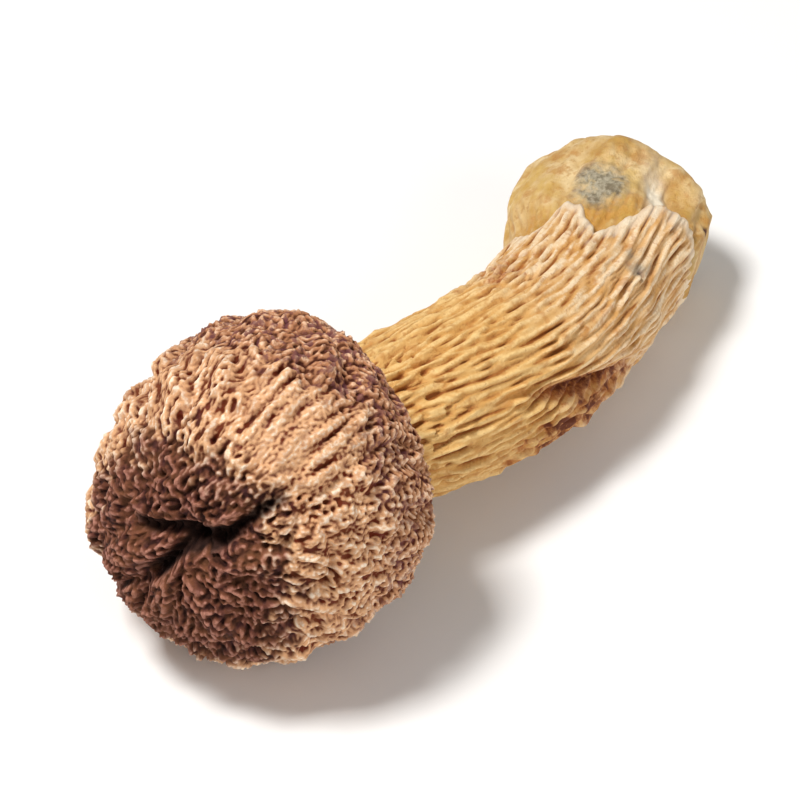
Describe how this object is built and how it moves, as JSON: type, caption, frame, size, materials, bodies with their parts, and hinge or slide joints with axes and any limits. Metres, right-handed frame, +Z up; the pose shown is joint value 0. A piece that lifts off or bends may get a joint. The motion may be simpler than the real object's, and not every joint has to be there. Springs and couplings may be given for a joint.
{
  "type": "dried almond mushroom",
  "caption": "Dried almond mushroom lying on its side: wrinkled brown cap with a sunken crown, rim rolled in over dark gills, thick ribbed straw-coloured stem and smooth swollen foot.",
  "frame": {"origin": "on the surface the mushroom lies on, below the middle of its bounding box", "axes": "+X along the mushroom from the crown of the cap to the foot, +Z up, away from the surface, +Y to the far side as the picture sees it"},
  "size_m": [0.0938, 0.0366, 0.0378],
  "materials": {
    "dried_flesh": "dry, matte and finely wrinkled; mauve-brown and tan on the cap, straw yellow on the stem and foot"
  },
  "bodies": {
    "root": {"almond_mushroom": "dried_flesh"}
  },
  "joints": []
}
